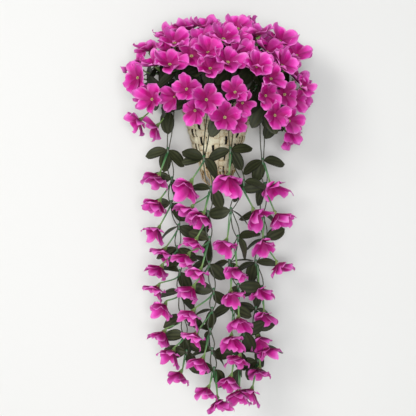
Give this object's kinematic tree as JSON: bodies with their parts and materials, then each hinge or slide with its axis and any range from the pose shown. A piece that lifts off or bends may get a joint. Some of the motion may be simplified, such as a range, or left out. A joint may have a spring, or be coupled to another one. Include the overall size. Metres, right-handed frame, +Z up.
{
  "type": "hanging basket of artificial fuchsia-coloured flowers",
  "caption": "Wall-hung cone-shaped splint basket with a dome of five-petalled cloth blooms over its rim and leafy flowering strands trailing below.",
  "frame": {"origin": "the nail that the hanging loop is hooked on, where it leaves the wall", "axes": "+Z up; the wall is the plane Y = 0 and the front faces -Y; +X is to the right as seen from the front"},
  "size_m": [0.3717, 0.218, 0.7814],
  "materials": {
    "splint": "matte",
    "hoop": "matte",
    "twine": "matte",
    "foam": "matte",
    "petals": "matte",
    "leaves": "satin",
    "stems": "satin"
  },
  "bodies": {
    "root": {"basket": "splint", "rim_hoop": "hoop", "hanging_loop": "twine", "foam_block": "foam", "spray_left": "petals", "spray_front_left": "petals", "spray_front": "petals", "spray_front_right": "petals", "spray_right": "petals", "spray_upper_left": "petals", "spray_upper_mid_left": "petals", "spray_upper_mid_right": "petals", "spray_upper_right": "petals", "spray_crown_left": "petals", "spray_crown_right": "petals", "strand_left": "leaves", "strand_mid_left": "leaves", "strand_mid_right": "leaves", "strand_right": "leaves"}
  },
  "joints": []
}
